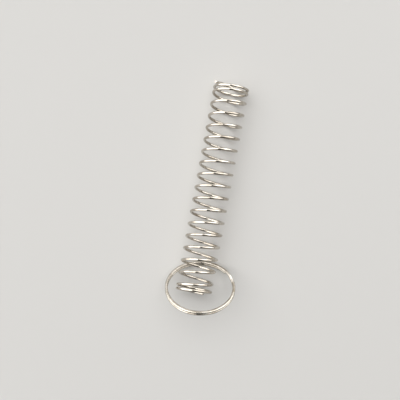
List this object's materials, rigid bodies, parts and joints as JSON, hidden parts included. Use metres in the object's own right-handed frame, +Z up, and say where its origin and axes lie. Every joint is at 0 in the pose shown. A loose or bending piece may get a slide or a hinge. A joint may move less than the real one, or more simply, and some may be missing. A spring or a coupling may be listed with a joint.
{
  "type": "ring and spring fidget toy",
  "caption": "Open-coiled steel wire spring with closed end turns, lying on its side, and a flat-wire split ring hooked loosely round its lower end.",
  "frame": {"origin": "centre of the bounding box, on the table the toy lies on", "axes": "+Z up; +Y along the spring from the end that holds the split ring to the free end; +X to the right seen from above with +Y away"},
  "size_m": [0.027, 0.0916, 0.0201],
  "materials": {
    "spring_wire": "round spring wire, cold drawn, coiled and bright nickel plated",
    "ring_wire": "flat-rolled steel wire wound into a split ring, barrel polished and nickel plated"
  },
  "bodies": {
    "lower_end": {"lower_end_turns": "spring_wire", "open_coil": "spring_wire"},
    "upper_end": {"upper_end_turns": "spring_wire"},
    "ring": {"split_ring": "ring_wire"}
  },
  "joints": [
    {"name": "spring_stretch", "type": "slide", "parent": "lower_end", "child": "upper_end", "axis": [0, 0.9995, -0.0312], "range_m": [-0.045, 0.02], "stiffness_N_per_m": 360, "deforming": ["open_coil"]},
    {"name": "ring_travel", "type": "slide", "parent": "lower_end", "child": "ring", "axis": [0, 0.9995, -0.0312], "range_m": [-0.03, 0.06]}
  ]
}
